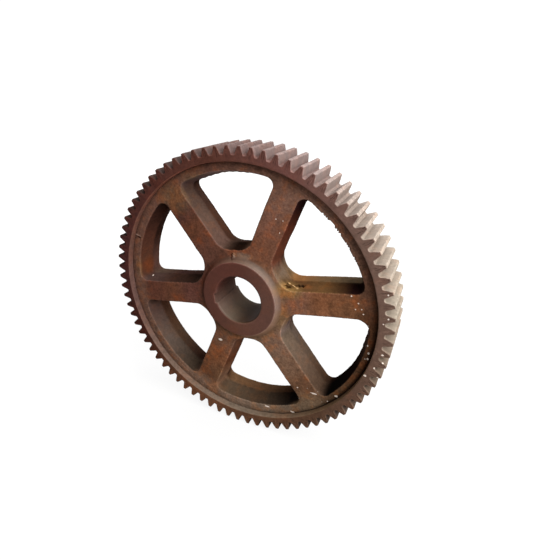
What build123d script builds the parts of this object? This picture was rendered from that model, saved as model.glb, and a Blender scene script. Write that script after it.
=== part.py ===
from build123d import *
import math
import os

# Spur gear: a toothed ring carried on a cast six-arm wheel centre.
# Frame: the gear's axis is Y, its front face looks toward -Y, +Z is up, and the
# origin is on the axis, half way through the face width.  Millimetres.

# ---- teeth -------------------------------------------------------------------
module = 5.0
tooth_count = 78
pressure_angle = 20.0
addendum = 1.0 * module
dedendum = 1.25 * module
root_fillet = 1.5
tooth_phase = -8.3            # angle of one tooth's centre line, from +X toward +Z

pitch_radius = module * tooth_count / 2            # 195
tip_radius = pitch_radius + addendum               # 200
root_radius = pitch_radius - dedendum              # 188.75
base_radius = pitch_radius * math.cos(math.radians(pressure_angle))

# ---- widths along the axis -----------------------------------------------------
face_width = 60.0             # teeth, and hub end to hub end
centre_depth = 42.0           # flange and arms, set back 9 mm from both faces

# ---- wheel centre --------------------------------------------------------------
seam_radius = 180.5           # the ring's bore and the flange's outside
flange_inner = 163.0          # window outline at the parting ridge
window_inner = 68.0           # the same, at the hub end
arm_half_width = 20.3         # arm at the parting ridge
arm_count = 6
arm_phase = 8.1               # angle of one arm, from +X toward +Z
corner_outer = 8.0            # window corners at the rim, at the ridge
corner_inner = 10.0           # window corners at the hub, at the ridge
draft_offset = 4.0            # how far each window wall falls back by the face
hub_radius = 52.6             # machined hub end face
hub_foot_radius = 56.5        # hub where it runs into the arms, before its fillet
hub_fillet = 6.0
hub_chamfer = 1.0

# ---- bore ----------------------------------------------------------------------
bore_radius = 32.5
bore_chamfer = 1.5
key_width = 14.0
key_depth = 3.8               # from the bore's own circle to the keyway's floor
key_angle = arm_phase + 180.0 # the keyway lies under an arm

os.makedirs("parts", exist_ok=True)


def polar(radius, degrees):
    a = math.radians(degrees)
    return (radius * math.cos(a), radius * math.sin(a))


def involute(alpha):
    return math.tan(alpha) - alpha


def half_angle(radius):
    """Half of a tooth's angle at this radius, in degrees."""
    at_pitch = math.pi / (2 * tooth_count)
    alpha = math.acos(base_radius / radius)
    return math.degrees(at_pitch + involute(math.radians(pressure_angle)) - involute(alpha))


# The root fillet touches the root circle and the flank.  The flank is nearly
# straight over so short a length, so its slope at the root places the fillet.
slope = math.acos(base_radius / root_radius)
reach = root_fillet / math.tan((math.pi / 2 + slope) / 2)
flank_start = root_radius + reach * math.cos(slope)
floor_start = math.degrees(reach / root_radius)
fillet_depth = root_fillet * (1 / math.sin((math.pi / 2 + slope) / 2) - 1)

root_half = half_angle(root_radius)
tip_half = half_angle(tip_radius)
start_half = half_angle(flank_start)
middle_radius = (flank_start + tip_radius) / 2
middle_half = half_angle(middle_radius)
# the fillet's mid point: out of the sharp corner, into the tooth space
bend = (math.pi / 2 + slope) / 2
fillet_mid_radius = root_radius + fillet_depth * math.sin(bend)
fillet_mid_half = root_half + math.degrees(fillet_depth * math.cos(bend) / root_radius)

# ---- toothed ring --------------------------------------------------------------
pitch = 360.0 / tooth_count
with BuildPart() as toothed_ring:
    with BuildSketch(Plane.XZ.offset(-face_width / 2)):
        with BuildLine():
            for i in range(tooth_count):
                c = tooth_phase + i * pitch
                Line(polar(root_radius, c - root_half - floor_start),
                     polar(root_radius, c - pitch + root_half + floor_start))
                ThreePointArc(polar(root_radius, c - root_half - floor_start),
                              polar(fillet_mid_radius, c - fillet_mid_half),
                              polar(flank_start, c - start_half))
                ThreePointArc(polar(flank_start, c - start_half),
                              polar(middle_radius, c - middle_half),
                              polar(tip_radius, c - tip_half))
                ThreePointArc(polar(tip_radius, c - tip_half),
                              polar(tip_radius, c),
                              polar(tip_radius, c + tip_half))
                ThreePointArc(polar(tip_radius, c + tip_half),
                              polar(middle_radius, c + middle_half),
                              polar(flank_start, c + start_half))
                ThreePointArc(polar(flank_start, c + start_half),
                              polar(fillet_mid_radius, c + fillet_mid_half),
                              polar(root_radius, c + root_half + floor_start))
        make_face()
        Circle(seam_radius, mode=Mode.SUBTRACT)
    extrude(amount=face_width)
    # a small machined chamfer where the bore of the ring meets each side face
    chamfer(toothed_ring.edges().filter_by(GeomType.CIRCLE)
            .filter_by(lambda e: abs(e.radius - seam_radius) < 0.01), 0.8)

toothed_ring.part.label = "toothed_ring"

# ---- wheel centre --------------------------------------------------------------
front = face_width / 2
shoulder = centre_depth / 2
with BuildPart() as wheel_centre:
    # half section through flange, arm disc and hub, turned round the Y axis
    with BuildSketch(Plane.XY):
        with BuildLine():
            Polyline((bore_radius, -front),
                     (hub_radius - hub_chamfer, -front),
                     (hub_radius, -front + hub_chamfer),
                     (hub_foot_radius, -shoulder),
                     (seam_radius, -shoulder),
                     (seam_radius, shoulder),
                     (hub_foot_radius, shoulder),
                     (hub_radius, front - hub_chamfer),
                     (hub_radius - hub_chamfer, front),
                     (bore_radius, front),
                     close=True)
        make_face()
    revolve(axis=Axis.Y)

    # the hub runs into the arms through a cast fillet, on both sides
    foot = (wheel_centre.edges().filter_by(GeomType.CIRCLE)
            .filter_by(lambda e: abs(e.radius - hub_foot_radius) < 0.01))
    fillet(foot, hub_fillet)

    # six windows, each cut both ways from the parting plane, so that the walls
    # lean back from a ridge at mid depth
    step = 180.0 / arm_count
    inner_turn = step - math.degrees(math.asin(arm_half_width / window_inner))
    outer_turn = step - math.degrees(math.asin(arm_half_width / flange_inner))
    with BuildSketch(Plane.XZ, mode=Mode.PRIVATE) as one_window:
        with BuildLine():
            CenterArc((0, 0), flange_inner, -outer_turn, 2 * outer_turn)
            Line(polar(flange_inner, outer_turn), polar(window_inner, inner_turn))
            CenterArc((0, 0), window_inner, -inner_turn, 2 * inner_turn)
            Line(polar(window_inner, -inner_turn), polar(flange_inner, -outer_turn))
        make_face()
        by_radius = one_window.vertices().sort_by_distance((0, 0, 0))
        fillet(by_radius[2:], corner_outer)
        by_radius = one_window.vertices().sort_by_distance((0, 0, 0))
        fillet(by_radius[:2], corner_inner)
    with BuildSketch(Plane.XZ):
        with PolarLocations(0, arm_count, start_angle=arm_phase + step):
            add(one_window.sketch_local)
    extrude(amount=shoulder, both=True, mode=Mode.SUBTRACT,
            taper=-math.degrees(math.atan(draft_offset / shoulder)))

    # bore, keyway and the chamfer at both mouths of the bore
    chamfer(wheel_centre.edges().filter_by(GeomType.CIRCLE)
            .filter_by(lambda e: abs(e.radius - bore_radius) < 0.01), bore_chamfer)
    with BuildSketch(Plane.XZ.offset(-front - 1)):
        with Locations(Location((0, 0, 0), (0, 0, key_angle))):
            with Locations(((bore_radius + key_depth) / 2, 0)):
                Rectangle(bore_radius + key_depth, key_width)
    extrude(amount=face_width + 2, mode=Mode.SUBTRACT)

wheel_centre.part.label = "wheel_centre"

export_step(toothed_ring.part, "parts/toothed_ring.step")
export_step(wheel_centre.part, "parts/wheel_centre.step")
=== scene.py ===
import math

import bpy
import numpy as np
from mathutils import Matrix, Vector


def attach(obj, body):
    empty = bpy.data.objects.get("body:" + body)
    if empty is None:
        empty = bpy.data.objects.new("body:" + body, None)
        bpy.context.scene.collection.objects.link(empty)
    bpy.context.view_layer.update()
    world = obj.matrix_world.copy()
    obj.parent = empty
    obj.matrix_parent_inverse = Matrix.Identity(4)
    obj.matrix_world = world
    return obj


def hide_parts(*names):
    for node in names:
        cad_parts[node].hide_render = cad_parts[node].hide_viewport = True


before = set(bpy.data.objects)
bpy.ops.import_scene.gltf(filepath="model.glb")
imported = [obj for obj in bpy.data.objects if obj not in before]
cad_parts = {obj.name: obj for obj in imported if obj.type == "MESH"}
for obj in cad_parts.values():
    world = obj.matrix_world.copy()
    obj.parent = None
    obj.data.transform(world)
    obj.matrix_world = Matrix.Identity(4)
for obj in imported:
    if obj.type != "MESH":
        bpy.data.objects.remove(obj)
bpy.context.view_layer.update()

# Everything below is worked out in millimetres, in the row frame, and scaled to
# metres when a mesh is made.  The gear's axis is Y and its front looks to -Y.
MM = 0.001
HALF_WIDTH = 30.0          # half of the face width, and of the hub's length
SHOULDER = 21.0            # half of the depth of the flange and arms
SEAM_R = 180.5
FLANGE_R, WINDOW_R, ARM_HALF, DRAFT = 163.0, 68.0, 20.3, 4.0
ARM_PHASE = 8.1
HUB_R, HUB_FOOT_R = 52.6, 56.5
BORE_R, BORE_CHAMFER = 32.5, 1.5
KEY_HALF, KEY_FLOOR = 7.0, 36.3
TEETH, TOOTH_PHASE = 78, -8.3
PITCH_R, TIP_R, ROOT_R = 195.0, 200.0, 188.75


# ------------------------------------------------------------------ noise ----
def lattice(seed):
    rng = np.random.RandomState(seed)
    g = rng.normal(size=(4096, 3)).astype(np.float32)
    return g / np.linalg.norm(g, axis=1)[:, None]


LATTICES = [lattice(1000 + i) for i in range(12)]


def perlin(p, scale, seed=0):
    """Gradient noise, about -1 to 1, with features `scale` mm across."""
    q = np.asarray(p, np.float32) / np.float32(scale) + np.float32(57.31 + 3.7 * seed)
    base = np.floor(q)
    f = q - base
    i = base.astype(np.int64)
    w = f * f * f * (f * (f * 6 - 15) + 10)
    grad = LATTICES[seed % len(LATTICES)]
    out = np.zeros(len(q), np.float32)
    for dx in (0, 1):
        wx = w[:, 0] if dx else 1 - w[:, 0]
        for dy in (0, 1):
            wy = w[:, 1] if dy else 1 - w[:, 1]
            for dz in (0, 1):
                wz = w[:, 2] if dz else 1 - w[:, 2]
                h = ((i[:, 0] + dx) * 73856093) ^ ((i[:, 1] + dy) * 19349663) ^ ((i[:, 2] + dz) * 83492791)
                g = grad[(h ^ (h >> 13)) & 4095]
                d = (g[:, 0] * (f[:, 0] - dx) + g[:, 1] * (f[:, 1] - dy) + g[:, 2] * (f[:, 2] - dz))
                out += wx * wy * wz * d
    return out * 1.5


def fbm(p, scale, octaves=3, seed=0, gain=0.5):
    total, amp, norm = 0.0, 1.0, 0.0
    for k in range(octaves):
        total = total + amp * perlin(p, scale / 2 ** k, seed + k)
        norm += amp
        amp *= gain
    return total / norm


def smoothstep(a, b, x):
    t = np.clip((x - a) / (b - a), 0, 1)
    return t * t * (3 - 2 * t)


# -------------------------------------------------- the cast wheel centre ----
def meet(a, b, r):
    """Intersection whose edge is rounded to radius r."""
    return np.minimum(np.maximum(a, b), -r) + np.hypot(np.maximum(a + r, 0), np.maximum(b + r, 0))


def join(a, b, r):
    """Union whose inside corner carries a fillet of radius r."""
    return np.maximum(np.minimum(a, b), r) - np.hypot(np.maximum(r - a, 0), np.maximum(r - b, 0))


def capsule(x, y, z, a, b):
    """Distance from the straight line between two points."""
    d = np.subtract(b, a)
    t = np.clip(((x - a[0]) * d[0] + (y - a[1]) * d[1] + (z - a[2]) * d[2]) / (d @ d), 0, 1)
    return np.sqrt((x - a[0] - t * d[0]) ** 2 + (y - a[1] - t * d[1]) ** 2 + (z - a[2] - t * d[2]) ** 2)


def blob(x, y, z, c, r):
    """About the distance from an ellipsoid's skin."""
    q = np.sqrt(((x - c[0]) / r[0]) ** 2 + ((y - c[1]) / r[1]) ** 2 + ((z - c[2]) / r[2]) ** 2)
    return (q - 1.0) * min(r)


FIN = ((63.2, -12.1, 30.4), (66.0, -11.3, 29.3), (69.2, -12.4, 27.8), (72.6, -12.9, 27.3), (76.7, -15.4, 26.6))
PITS = (((65.6, -15.6, 28.6), (4.6, 3.6, 3.2)), ((78.6, -9.6, 28.2), (6.4, 2.3, 2.8)))
CRACK = ((-11.6, -21.0, 60.6), (-12.9, -21.3, 59.2), (-11.4, -22.0, 57.8), (-12.0, -23.4, 56.0), (-9.8, -25.8, 54.2))
LIP = ((-9.0, -20.8, 61.2), (-9.4, -21.4, 59.4), (-7.8, -22.6, 57.6))
NICK = ((-166.0, -21.6, 61.0), (-160.6, -21.4, 60.0))
NICK_LIP = ((-167.0, -20.7, 64.2), (-159.6, -20.6, 61.8))


# how far each window wall stands into its window from its nominal place, in mm, at the
# front face and at the rear face, for the six windows in turn
WALL_A = ((-2.0, 0.2), (-0.6, 0.0), (0.4, 0.0), (-0.9, 0.0), (0.0, 0.9), (0.0, 1.6))
WALL_B = ((2.3, 2.3), (0.0, 1.5), (0.0, 0.1), (-0.3, 0.0), (-1.2, 0.0), (1.7, 1.7))
WALL_C = ((0.2, 0.0), (-1.2, 0.0), (0.0, 2.5), (0.0, 4.0), (0.0, 3.8), (-3.5, -3.5))
WALL_D = ((-1.3, -1.3), (2.7, 2.7), (-1.5, -1.5), (-1.5, -1.5), (-2.1, -2.1), (2.2, 2.2))


def stands_in(table, lobe, y):
    t = np.array(table)[lobe]
    w = np.clip(y / SHOULDER, -1, 1) * 0.5 + 0.5
    return t[..., 0] * (1 - w) + t[..., 1] * w


def path(x, y, z, pts):
    """Distance from a line drawn through several points."""
    return np.minimum.reduce([capsule(x, y, z, a, b) for a, b in zip(pts, pts[1:])])


def pits(x, y, z):
    """Two ragged holes in the wall, negative inside."""
    xr = x + 0.8 * np.sin(1.7 * z + 0.9 * y)
    yr = y + 0.7 * np.sin(1.3 * x + 0.4) + 0.3 * np.sin(3.1 * x)
    return np.minimum.reduce([blob(xr, yr, z, c, r) for c, r in PITS])


def torn_fin(x, y, z):
    return path(x, y, z, FIN) - 0.72 - 0.28 * np.sin(1.15 * x + 0.8 * y)


def wheel_field(x, y, z):
    """Signed distance, negative inside the metal, of the wheel centre."""
    rho = np.hypot(x, z)
    theta = np.degrees(np.arctan2(z, x))
    # sand moulds are never quite true: arms wander by up to a millimetre
    sway = 0.7 * np.sin(x / 47.0 + 1.3) * np.cos(z / 53.0 - 0.4)
    a = np.mod(theta - ARM_PHASE, 60.0)
    lobe = np.minimum(np.floor(np.mod(theta - ARM_PHASE, 360.0) / 60.0), 5).astype(int)
    ra = np.radians(a)
    ay = np.abs(y)
    lean = DRAFT * np.minimum(np.sqrt(ay * ay + 0.8) / SHOULDER, 1.15)
    half = ARM_HALF - lean + 0.25 * np.sin(rho / 19.0 + 2.1 * lobe)
    # the upper walls of the two level arms hardly lean back behind the parting line
    full = 0.62 * DRAFT * np.clip(y, 0, SHOULDER) / SHOULDER
    f1 = half + full * (lobe == 0) - rho * np.sin(ra) - sway + stands_in(WALL_A, lobe, y)
    f2 = half + full * (lobe == 2) - rho * np.sin(np.radians(60.0) - ra) + sway + stands_in(WALL_B, lobe, y)
    # the flange's inner edge is broken and burnt between two of the arms
    rough = smoothstep(24, 30, theta) * smoothstep(57, 50, theta)
    teeth = np.abs(np.mod(theta * 0.47 + 0.6 * np.sin(theta * 0.9), 1.0) - 0.35)
    broken = rough * (1.7 * smoothstep(0.10, 0.26, teeth) - 0.7) * smoothstep(6, -8, y)
    f3 = rho - (FLANGE_R + lean) + broken + stands_in(WALL_C, lobe, y)
    f4 = (WINDOW_R - lean) - rho + stands_in(WALL_D, lobe, y)
    ro, ri = 8.0 + lean, 10.0 + lean
    w = np.maximum(np.maximum(meet(f1, f3, ro), meet(f2, f3, ro + 6.0 * (lobe == 5))),
                   np.maximum(meet(f1, f4, ri), meet(f2, f4, ri)))
    # a low uneven fin where the two halves of the mould met
    fin = 0.55 + 0.35 * np.sin(theta * 0.31 + rho * 0.07) + 0.25 * np.sin(theta * 1.7)
    w = w + np.maximum(fin, 0.1) * np.exp(-(y / 0.9) ** 2)
    # the torn fin and the shrinkage pits on the upper wall of the right-hand arm
    burr = torn_fin(x, y, z)
    pit = pits(x, y, z)
    disc = meet(rho - SEAM_R, ay - SHOULDER, 0.9)
    # two shallow turned steps left on the flange
    bead = (0.34 * np.exp(-((rho - 173.2) / 0.8) ** 2) + 0.26 * np.exp(-((rho - 169.6) / 0.7) ** 2))
    disc = disc - bead * smoothstep(18, 21, ay) * (0.7 + 0.5 * np.sin(theta / 23.0))
    body = meet(disc, -w, 1.5 - 0.6 * smoothstep(0, 12, y))      # sharper at the back
    body = meet(body, -pit, 0.6)
    body = join(body, burr, 0.5)
    cone = (rho - (HUB_FOOT_R - (ay - SHOULDER) * (HUB_FOOT_R - HUB_R) / (HALF_WIDTH - SHOULDER))) * 0.917
    hub = meet(cone, ay - HALF_WIDTH, 1.1)
    body = join(body, hub, 6.0)
    # a short crack at the top of the hub, with a raised lip beside it
    body = meet(body, -(path(x, y, z, CRACK) - 0.7), 0.4)
    body = join(body, path(x, y, z, LIP) - 0.8, 0.8)
    # a dent in the flange on the left, and the metal it pushed up
    body = meet(body, -(path(x, y, z, NICK) - 1.35), 0.7)
    body = join(body, path(x, y, z, NICK_LIP) - 0.75, 0.9)
    # bore, keyway and the chamfer at each mouth
    ka = math.radians(ARM_PHASE + 180.0)
    u = x * math.cos(ka) + z * math.sin(ka)
    v = -x * math.sin(ka) + z * math.cos(ka)
    key = meet(np.maximum(np.abs(v) - KEY_HALF, -u), u - KEY_FLOOR + 0.5, 1.2)
    chamfer = (rho - BORE_R - (ay - (HALF_WIDTH - BORE_CHAMFER))) * 0.7071
    hole = np.minimum(np.minimum(rho - BORE_R, chamfer), key)
    return meet(body, -hole, 0.8)


def surface_nets(field, lo, hi, h):
    """A closed quad mesh of field = 0, one vertex per cell that the surface crosses."""
    axes = [np.arange(lo[k], hi[k] + h, h, dtype=np.float32) for k in range(3)]
    n = [len(a) for a in axes]
    f = np.empty(n, np.float32)
    gy, gz = np.meshgrid(axes[1], axes[2], indexing="ij")
    for i0 in range(0, n[0], 24):
        xs = axes[0][i0:i0 + 24]
        shape = (len(xs),) + gy.shape
        f[i0:i0 + 24] = field(np.broadcast_to(xs[:, None, None], shape),
                              np.broadcast_to(gy, shape), np.broadcast_to(gz, shape))
    inside = f < 0
    count = np.zeros([k - 1 for k in n], np.uint8)
    corners = [(a, b, c) for a in (0, 1) for b in (0, 1) for c in (0, 1)]
    for a, b, c in corners:
        count += inside[a:n[0] - 1 + a, b:n[1] - 1 + b, c:n[2] - 1 + c]
    cell = np.argwhere((count > 0) & (count < 8))
    index = -np.ones(count.shape, np.int64)
    index[cell[:, 0], cell[:, 1], cell[:, 2]] = np.arange(len(cell))
    total = np.zeros((len(cell), 3), np.float64)
    hits = np.zeros(len(cell))
    for k in range(3):
        step = np.eye(3, dtype=int)[k]
        for c in corners:
            if c[k]:
                continue
            p0 = cell + np.array(c)
            p1 = p0 + step
            v0, v1 = f[tuple(p0.T)], f[tuple(p1.T)]
            cross = (v0 < 0) != (v1 < 0)
            t = np.where(cross, v0 / np.where(cross, v0 - v1, 1), 0)
            total += cross[:, None] * (p0 + t[:, None] * step)
            hits += cross
    verts = total / hits[:, None] * h + np.array([a[0] for a in axes])
    quads = []
    for k in range(3):
        step = [0, 0, 0]
        step[k] = 1
        a_in = inside[tuple(slice(0, n[j] - step[j]) for j in range(3))]
        b_in = inside[tuple(slice(step[j], n[j]) for j in range(3))]
        e = np.argwhere(a_in != b_in)
        flip = a_in[tuple(e.T)]
        u, v = [j for j in range(3) if j != k]
        keep = (e[:, u] > 0) & (e[:, v] > 0) & (e[:, u] < n[u] - 1) & (e[:, v] < n[v] - 1)
        e, flip = e[keep], flip[keep]
        du, dv = np.zeros(3, int), np.zeros(3, int)
        du[u], dv[v] = 1, 1
        q = np.stack([index[tuple((e - du - dv).T)], index[tuple((e - dv).T)],
                      index[tuple(e.T)], index[tuple((e - du).T)]], 1)
        if k == 1:
            flip = ~flip
        q[~flip] = q[~flip][:, ::-1]
        quads.append(q)
    return verts, np.concatenate(quads)


def gradient(field, p, eps):
    g = np.empty_like(p)
    for k in range(3):
        d = np.zeros(3)
        d[k] = eps
        a, b = p + d, p - d
        g[:, k] = (field(a[:, 0], a[:, 1], a[:, 2]) - field(b[:, 0], b[:, 1], b[:, 2])) / (2 * eps)
    return g


def machined_share(p):
    """1 on the turned faces of the wheel centre: hub ends, bore and keyway."""
    rho = np.hypot(p[:, 0], p[:, 2])
    ay = np.abs(p[:, 1])
    return np.maximum(smoothstep(29.2, 29.9, ay), smoothstep(38.5, 37.5, rho))


def cast_skin(p):
    """How far the sand-cast skin stands proud of the plain shape, in mm."""
    rough = 0.30 * fbm(p, 26.0, 2, 0) + 0.20 * fbm(p, 7.0, 2, 3) + 0.13 * perlin(p, 2.9, 6)
    pits = smoothstep(0.42, 0.75, perlin(p, 5.2, 8)) * -0.34
    scabs = smoothstep(0.38, 0.62, perlin(p, 11.0, 9)) * 0.22
    seam = smoothstep(SEAM_R - 0.2, SEAM_R - 2.5, np.hypot(p[:, 0], p[:, 2]))
    m = machined_share(p)
    return (rough + pits + scabs) * (1 - m) * seam + 0.03 * m * perlin(p, 4.0, 2)


def make_mesh(name, verts, faces):
    mesh = bpy.data.meshes.new(name)
    verts = np.asarray(verts, np.float64) * MM
    faces = np.asarray(faces, np.int32)
    k = faces.shape[1]
    mesh.vertices.add(len(verts))
    mesh.vertices.foreach_set("co", verts.astype(np.float32).ravel())
    mesh.loops.add(faces.size)
    mesh.loops.foreach_set("vertex_index", faces.ravel())
    mesh.polygons.add(len(faces))
    mesh.polygons.foreach_set("loop_start", np.arange(0, faces.size, k, dtype=np.int32))
    mesh.update(calc_edges=True)
    mesh.validate()
    mesh.polygons.foreach_set("use_smooth", np.ones(len(mesh.polygons), bool))
    return mesh


def link(name, mesh):
    o = bpy.data.objects.new(name, mesh)
    bpy.context.scene.collection.objects.link(o)
    return o


def points(mesh):
    co = np.empty(len(mesh.vertices) * 3, np.float32)
    mesh.vertices.foreach_get("co", co)
    return co.reshape(-1, 3).astype(np.float64) / MM


def floats(mesh, name, values):
    a = mesh.attributes.new(name, "FLOAT", "POINT")
    a.data.foreach_set("value", np.asarray(values, np.float32))


def around(theta, stops):
    """A colour that changes smoothly round the gear, from a few (degrees, colour) stops."""
    d = [t for t, _ in stops]
    c = np.array([c for _, c in stops])
    t = np.mod(theta, 360.0)
    d = [d[-1] - 360.0] + d + [d[0] + 360.0]
    c = np.vstack([c[-1], c, c[0]])
    return np.stack([np.interp(t, d, c[:, k]) for k in range(3)], 1)


def blend(a, b, w):
    return a + (b - a) * np.clip(w, 0, 1)[:, None]


def colours(mesh, name, values):
    a = mesh.attributes.new(name, "FLOAT_COLOR", "POINT")
    rgba = np.ones((len(values), 4), np.float32)
    rgba[:, :3] = values
    a.data.foreach_set("color", rgba.ravel())


# Base colours of the rust, going round from the +X side.  Linear values.
# Arms: near the hub, half way along, and by the flange.
ARM_TINTS = [
    [(8, (0.187, 0.090, 0.058)), (68, (0.165, 0.068, 0.039)), (128, (0.110, 0.046, 0.031)),
     (188, (0.117, 0.046, 0.034)), (248, (0.161, 0.080, 0.049)), (308, (0.191, 0.113, 0.077))],
    [(8, (0.197, 0.079, 0.037)), (68, (0.170, 0.078, 0.052)), (128, (0.125, 0.047, 0.026)),
     (188, (0.125, 0.050, 0.029)), (248, (0.185, 0.073, 0.034)), (308, (0.203, 0.114, 0.072))],
    [(8, (0.160, 0.070, 0.034)), (68, (0.183, 0.097, 0.070)), (128, (0.077, 0.033, 0.029)),
     (188, (0.112, 0.042, 0.027)), (248, (0.121, 0.057, 0.031)), (308, (0.138, 0.069, 0.039))]]
FLANGE_TINTS = [(0, (0.100, 0.042, 0.021)), (45, (0.211, 0.114, 0.081)),
                (105, (0.144, 0.067, 0.047)), (195, (0.126, 0.067, 0.048)),
                (250, (0.190, 0.117, 0.081)), (285, (0.187, 0.133, 0.096)),
                (320, (0.094, 0.051, 0.027))]
# window walls: colours along each wall that meets the light, in front of and behind the
# parting line, with painted shade in them: the near-black and darkest stops are painted
# shadow where the rim, an arm or the hub shades the wall.  A wall that isn't listed keeps the plain dusty colour.
PLAIN_WALL = ((0.090, 0.052, 0.035), (0.070, 0.036, 0.024))
WALL_TONES_AND_SHADE = {
    (0, "A"): (((0.087, 0.040, 0.018), (0.143, 0.072, 0.028), (0.013, 0.005, 0.005)),
               ((0.258, 0.118, 0.043), (0.178, 0.111, 0.057), (0.125, 0.089, 0.054))),
    (0, "B"): (((0.098, 0.034, 0.020), (0.083, 0.026, 0.016), (0.021, 0.008, 0.008)),
               ((0.060, 0.024, 0.015), (0.060, 0.024, 0.015), (0.060, 0.024, 0.015))),
    (0, "C"): (((0.012, 0.006, 0.004), (0.055, 0.030, 0.021), (0.050, 0.027, 0.019)),
               ((0.022, 0.011, 0.007), (0.055, 0.030, 0.021), (0.045, 0.024, 0.017))),
    (0, "D"): (((0.141, 0.080, 0.037), (0.143, 0.100, 0.069), (0.111, 0.060, 0.040)),
               ((0.196, 0.119, 0.051), (0.153, 0.098, 0.060), (0.106, 0.070, 0.047))),
    (1, "B"): (((0.102, 0.057, 0.044), (0.098, 0.059, 0.045), (0.072, 0.043, 0.033)),
               ((0.055, 0.024, 0.015), (0.056, 0.027, 0.018), (0.050, 0.026, 0.020))),
    (1, "C"): (((0.107, 0.066, 0.058), (0.191, 0.138, 0.128), (0.102, 0.062, 0.057)),
               ((0.036, 0.017, 0.012), (0.055, 0.030, 0.022), (0.028, 0.013, 0.010))),
    (1, "D"): (((0.007, 0.004, 0.003), (0.012, 0.006, 0.004), (0.070, 0.040, 0.028)),
               ((0.041, 0.023, 0.018), (0.050, 0.029, 0.022), (0.050, 0.030, 0.022))),
    (2, "B"): (((0.020, 0.011, 0.008), (0.044, 0.021, 0.015), (0.070, 0.041, 0.035)),
               ((0.040, 0.020, 0.016), (0.044, 0.021, 0.018), (0.080, 0.050, 0.036))),
    (2, "C"): (((0.024, 0.011, 0.009), (0.069, 0.026, 0.017), (0.072, 0.030, 0.018)),
               ((0.045, 0.022, 0.018), (0.024, 0.010, 0.007), (0.083, 0.040, 0.031))),
    (3, "C"): (((0.067, 0.038, 0.031), (0.088, 0.062, 0.050), (0.038, 0.026, 0.018)),
               ((0.050, 0.021, 0.012), (0.054, 0.033, 0.022), (0.026, 0.012, 0.008))),
    (4, "A"): (((0.118, 0.057, 0.037), (0.099, 0.035, 0.017), (0.154, 0.083, 0.051)),
               ((0.040, 0.018, 0.012), (0.040, 0.018, 0.012), (0.040, 0.018, 0.012))),
    (4, "C"): (((0.084, 0.055, 0.035), (0.049, 0.032, 0.021), (0.004, 0.003, 0.003)),
               ((0.126, 0.066, 0.033), (0.069, 0.035, 0.018), (0.014, 0.006, 0.004))),
    (5, "A"): (((0.116, 0.082, 0.058), (0.111, 0.072, 0.051), (0.077, 0.046, 0.030)),
               ((0.098, 0.071, 0.056), (0.084, 0.057, 0.041), (0.061, 0.033, 0.020))),
    (5, "C"): (((0.002, 0.002, 0.002), (0.007, 0.004, 0.003), (0.050, 0.028, 0.020)),
               ((0.004, 0.002, 0.002), (0.018, 0.010, 0.007), (0.050, 0.028, 0.020))),
    (5, "D"): (((0.162, 0.115, 0.105), (0.130, 0.085, 0.073), (0.086, 0.037, 0.032)),
               ((0.060, 0.030, 0.022), (0.060, 0.030, 0.022), (0.060, 0.030, 0.022))),
}
BORE_TINTS = [(20, (0.030, 0.018, 0.013)), (150, (0.067, 0.022, 0.016)),
              (182, (0.083, 0.042, 0.032)), (215, (0.122, 0.081, 0.063)),
              (245, (0.103, 0.074, 0.053)), (275, (0.043, 0.023, 0.013)),
              (310, (0.027, 0.011, 0.006))]
CONE_TINTS = [(0, (0.198, 0.130, 0.103)), (60, (0.189, 0.136, 0.109)), (90, (0.131, 0.079, 0.057)),
              (140, (0.109, 0.037, 0.022)), (230, (0.098, 0.038, 0.025)),
              (275, (0.255, 0.144, 0.092)), (320, (0.262, 0.149, 0.095))]


HUB_TINTS = [(0, (0.108, 0.052, 0.039)), (30, (0.111, 0.052, 0.040)), (60, (0.099, 0.043, 0.032)),
             (90, (0.092, 0.033, 0.024)), (120, (0.099, 0.035, 0.026)), (150, (0.095, 0.035, 0.025)),
             (210, (0.096, 0.038, 0.028)), (240, (0.102, 0.043, 0.030)), (270, (0.116, 0.050, 0.034)),
             (330, (0.113, 0.052, 0.039))]


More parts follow.
